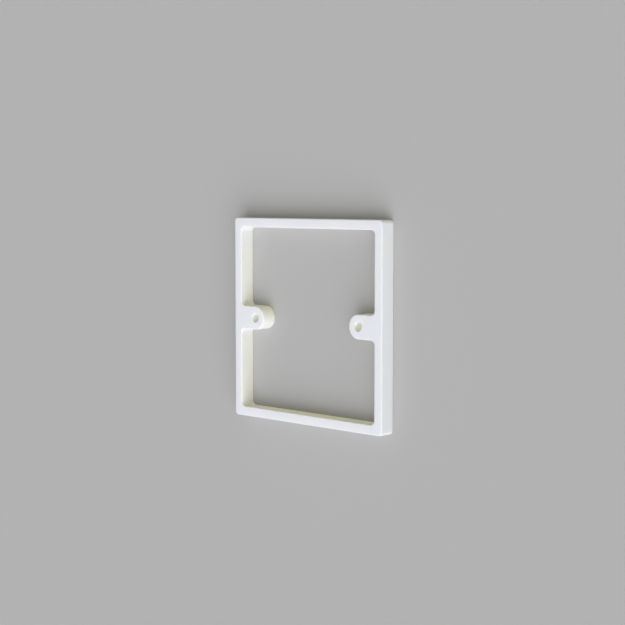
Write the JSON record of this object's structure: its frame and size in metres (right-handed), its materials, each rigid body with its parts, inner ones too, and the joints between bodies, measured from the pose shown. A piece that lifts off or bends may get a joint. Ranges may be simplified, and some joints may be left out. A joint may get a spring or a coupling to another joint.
{
  "type": "back box spacer",
  "caption": "Flat square plastic spacer frame for a wall box, with a drilled lug on each side for the fixing screws of a switch or socket plate.",
  "frame": {"origin": "centre of the back face, midway between the two screw holes", "axes": "+X from the left lug to the right one, +Y up when the spacer is on a wall, +Z out of the wall towards the plate"},
  "size_m": [0.086, 0.086, 0.007],
  "materials": {
    "frame_plastic": "moulded white plastic with a fine satin surface"
  },
  "bodies": {
    "root": {"spacer_frame": "frame_plastic"}
  },
  "joints": []
}
